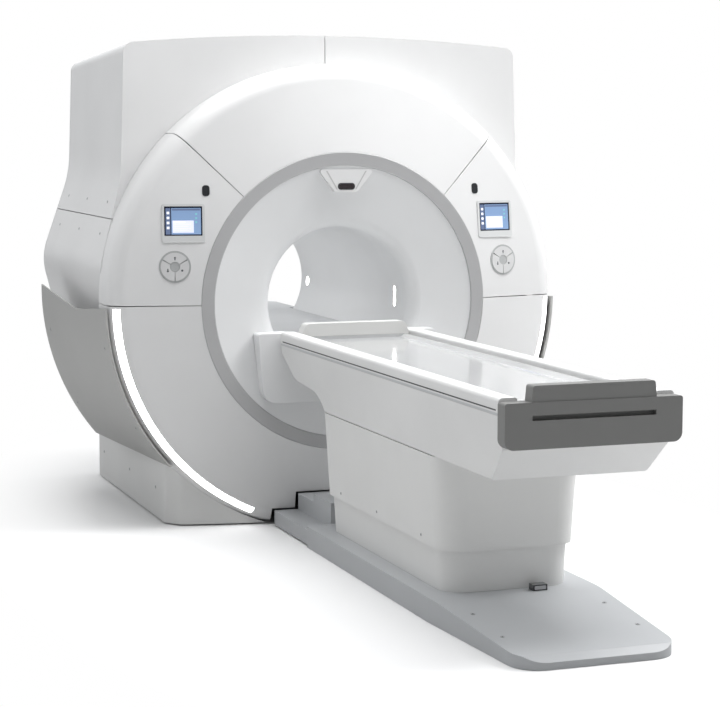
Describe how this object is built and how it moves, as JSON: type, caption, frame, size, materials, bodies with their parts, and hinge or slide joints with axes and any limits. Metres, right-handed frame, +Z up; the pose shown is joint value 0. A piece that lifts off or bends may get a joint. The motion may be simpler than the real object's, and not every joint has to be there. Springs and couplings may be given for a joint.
{
  "type": "mri scanner",
  "caption": "Whole-body magnetic resonance scanner: round-fronted magnet housing with wide bore, grey side wings and light strips, and a docked patient table that lifts and feeds its cradle in",
  "frame": {"origin": "on the floor, straight under the middle of the magnet", "axes": "+X to the right of someone who faces the bore from the table side, +Y along the bore towards the back of the magnet, +Z up"},
  "size_m": [2.4018, 4.957, 2.3183],
  "materials": {
    "white_cover": "smooth semi-gloss white paint on moulded covers",
    "bore_white": "smooth white moulded bore lining",
    "ring_grey": "satin silver grey",
    "wing_grey": "satin warm grey",
    "strip_light": "lit white diffuser",
    "plinth_white": "fine-grained light grey plastic",
    "table_white": "smooth white moulding",
    "pan_grey": "smooth grey-white running surface",
    "cradle_gloss": "polished pale composite",
    "lip_white": "soft white moulding",
    "bumper_grey": "grained dark grey bumper",
    "foot_plate_grey": "pale bluish grey powder coat",
    "screen_glass": "lit display behind clear glass",
    "bezel": "smooth white frame",
    "keypad": "satin pale grey",
    "button": "satin pale membrane",
    "dark_window": "black, glossy",
    "vent_dark": "dark grey grille",
    "frame_steel": "grey paint on steel",
    "vessel_steel": "welded stainless steel",
    "winding_copper": "wound copper and niobium-titanium in resin",
    "resin_coil": "cast resin with copper conductors",
    "strap_composite": "glass fibre composite",
    "lift_metal": "machined aluminium"
  },
  "bodies": {
    "scanner": {"base_skirt": "plinth_white", "body_coil": "resin_coil", "bore_bridge": "pan_grey", "bore_flare": "bore_white", "bore_liner": "bore_white", "cold_head": "lift_metal", "dock_fairing": "bore_white", "docking_foot": "foot_plate_grey", "floor_frame": "frame_steel", "foot_plate": "foot_plate_grey", "foot_socket": "dark_window", "front_cover_left": "white_cover", "front_cover_lower": "white_cover", "front_cover_right": "white_cover", "front_cover_top": "white_cover", "gradient_coil": "resin_coil", "gradient_wedges": "resin_coil", "helium_vessel": "vessel_steel", "keypad_housings": "keypad", "laser_housing": "white_cover", "laser_window": "dark_window", "lift_columns": "lift_metal", "light_strip_left": "strip_light", "light_strip_right": "strip_light", "magnet_feet": "frame_steel", "magnet_windings": "winding_copper", "plinth": "plinth_white", "rear_cover": "white_cover", "rear_funnel": "bore_white", "rear_shelf": "pan_grey", "screen_bezels": "bezel", "screen_left": "screen_glass", "screen_right": "screen_glass", "sensor_windows": "dark_window", "shroud_left": "white_cover", "shroud_right": "white_cover", "side_cover_left": "white_cover", "side_cover_right": "white_cover", "suspension_straps": "strap_composite", "top_vent": "vent_dark", "trim_ring": "ring_grey", "vacuum_vessel": "vessel_steel", "wing_brackets": "frame_steel", "wing_left": "wing_grey", "wing_right": "wing_grey"},
    "table_top": {"apron": "plinth_white", "deck_housing": "table_white", "deck_rails": "table_white", "deck_pan": "pan_grey", "end_bumper": "bumper_grey", "lift_rams": "lift_metal"},
    "patient_cradle": {"cradle": "cradle_gloss", "head_lip": "lip_white"},
    "button_left_down": {"button_left_down": "button"},
    "button_left_home": {"button_left_home": "button"},
    "button_left_up": {"button_left_up": "button"},
    "button_right_down": {"button_right_down": "button"},
    "button_right_home": {"button_right_home": "button"},
    "button_right_up": {"button_right_up": "button"}
  },
  "joints": [
    {"name": "table_lift", "type": "slide", "parent": "scanner", "child": "table_top", "axis": [0, 0, 1], "range_m": [-0.15, 0]},
    {"name": "cradle_slide", "type": "slide", "parent": "table_top", "child": "patient_cradle", "axis": [0, 1, 0], "range_m": [0, 1.75]},
    {"name": "press_left_down", "type": "slide", "parent": "scanner", "child": "button_left_down", "axis": [0.2124, 0.9761, -0.0466], "range_m": [0, 0.002], "stiffness_N_per_m": 400},
    {"name": "press_left_home", "type": "slide", "parent": "scanner", "child": "button_left_home", "axis": [0.2124, 0.9761, -0.0466], "range_m": [0, 0.002], "stiffness_N_per_m": 400},
    {"name": "press_left_up", "type": "slide", "parent": "scanner", "child": "button_left_up", "axis": [0.2124, 0.9761, -0.0466], "range_m": [0, 0.002], "stiffness_N_per_m": 400},
    {"name": "press_right_down", "type": "slide", "parent": "scanner", "child": "button_right_down", "axis": [-0.2124, 0.9761, -0.0466], "range_m": [0, 0.002], "stiffness_N_per_m": 400},
    {"name": "press_right_home", "type": "slide", "parent": "scanner", "child": "button_right_home", "axis": [-0.2124, 0.9761, -0.0466], "range_m": [0, 0.002], "stiffness_N_per_m": 400},
    {"name": "press_right_up", "type": "slide", "parent": "scanner", "child": "button_right_up", "axis": [-0.2124, 0.9761, -0.0466], "range_m": [0, 0.002], "stiffness_N_per_m": 400}
  ]
}
